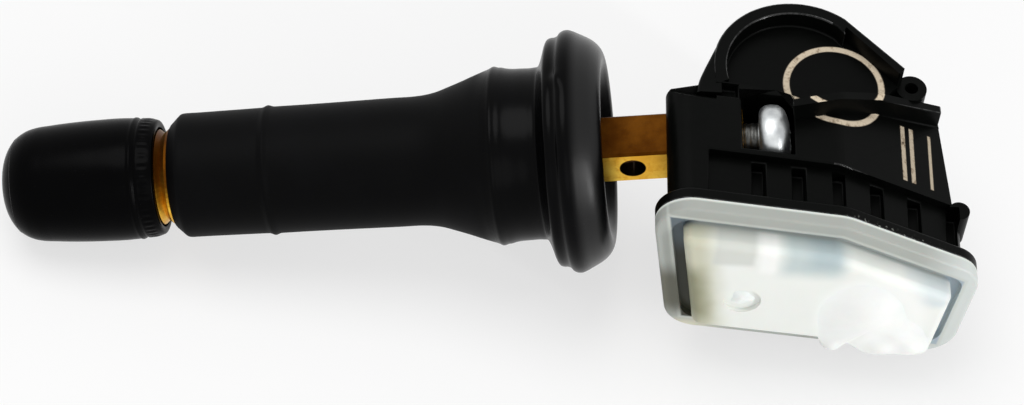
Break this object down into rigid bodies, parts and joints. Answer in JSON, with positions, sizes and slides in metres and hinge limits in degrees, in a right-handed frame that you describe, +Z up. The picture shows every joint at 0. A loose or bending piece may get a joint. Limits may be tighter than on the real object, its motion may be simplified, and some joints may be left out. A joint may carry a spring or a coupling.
{
  "type": "tyre pressure sensor",
  "caption": "Tyre pressure sensor on a snap-in rubber valve: screw cap, brass stem with a flat-sided tail, black moulded sensor body with a milky welded cover.",
  "frame": {"origin": "centre of the rim groove, on the axis of the rubber stem", "axes": "+X towards the sensor body along the part's length, +Y away from the welded cover, +Z up as the part lies on a flat surface; the stem axis rises 11 degrees towards +X"},
  "size_m": [0.0786, 0.0252, 0.0227],
  "materials": {
    "cap_plastic": "glossy moulded plastic, fine ribs at the skirt",
    "seal_rubber": "matt rubber",
    "stem_rubber": "satin moulded rubber",
    "stem_brass": "machined brass",
    "core_brass": "turned brass",
    "spring_steel": "drawn wire",
    "screw_steel": "bright zinc plated",
    "housing_nylon": "glass filled nylon, semi gloss",
    "cover_nylon": "milky translucent nylon",
    "sealant_silicone": "white silicone",
    "cell_steel": "nickel plated",
    "tab_nickel": "nickel strip",
    "board_laminate": "green solder resist",
    "chip_resin": "moulded resin",
    "ferrite": "sintered ferrite",
    "copper_wire": "enamelled copper",
    "capacitor_ceramic": "ceramic with tinned ends",
    "potting_gel": "milky silicone gel"
  },
  "bodies": {
    "sensor": {"rubber_stem": "stem_rubber", "brass_stem": "stem_brass", "core_body": "core_brass", "core_gasket": "seal_rubber", "core_spring": "spring_steel", "retaining_screw": "screw_steel", "housing": "housing_nylon", "cover": "cover_nylon", "sealant": "sealant_silicone", "coin_cell": "cell_steel", "cell_tab_top": "tab_nickel", "cell_tab_bottom": "tab_nickel", "circuit_board": "board_laminate", "pressure_chip": "chip_resin", "port_gasket": "seal_rubber", "lf_coil_core": "ferrite", "lf_coil_winding": "copper_wire", "crystal": "cell_steel", "chip_capacitors": "capacitor_ceramic", "antenna": "copper_wire", "potting": "potting_gel"},
    "cap": {"valve_cap": "cap_plastic"},
    "cap_washer": {"cap_seal": "seal_rubber"},
    "valve_pin": {"core_pin": "core_brass", "core_cup": "seal_rubber"}
  },
  "joints": [
    {"name": "cap_slide", "type": "slide", "parent": "sensor", "child": "cap_washer", "axis": [-0.9816, 0, -0.1908], "range_m": [0, 0.00396]},
    {"name": "cap_turn", "type": "hinge", "parent": "cap_washer", "child": "cap", "pos_m": [0, 0, 0], "axis": [-0.9816, 0, -0.1908], "range_deg": [0, 1800]},
    {"name": "pin_press", "type": "slide", "parent": "sensor", "child": "valve_pin", "axis": [0.9816, 0, 0.1908], "range_m": [0, 0.0012], "stiffness_N_per_m": 600, "springref_m": -0.001, "deforming": ["core_spring"]}
  ],
  "couplings": [
    {"joint": "cap_turn", "follows": "cap_slide", "rad_per_m": 7913.3}
  ]
}
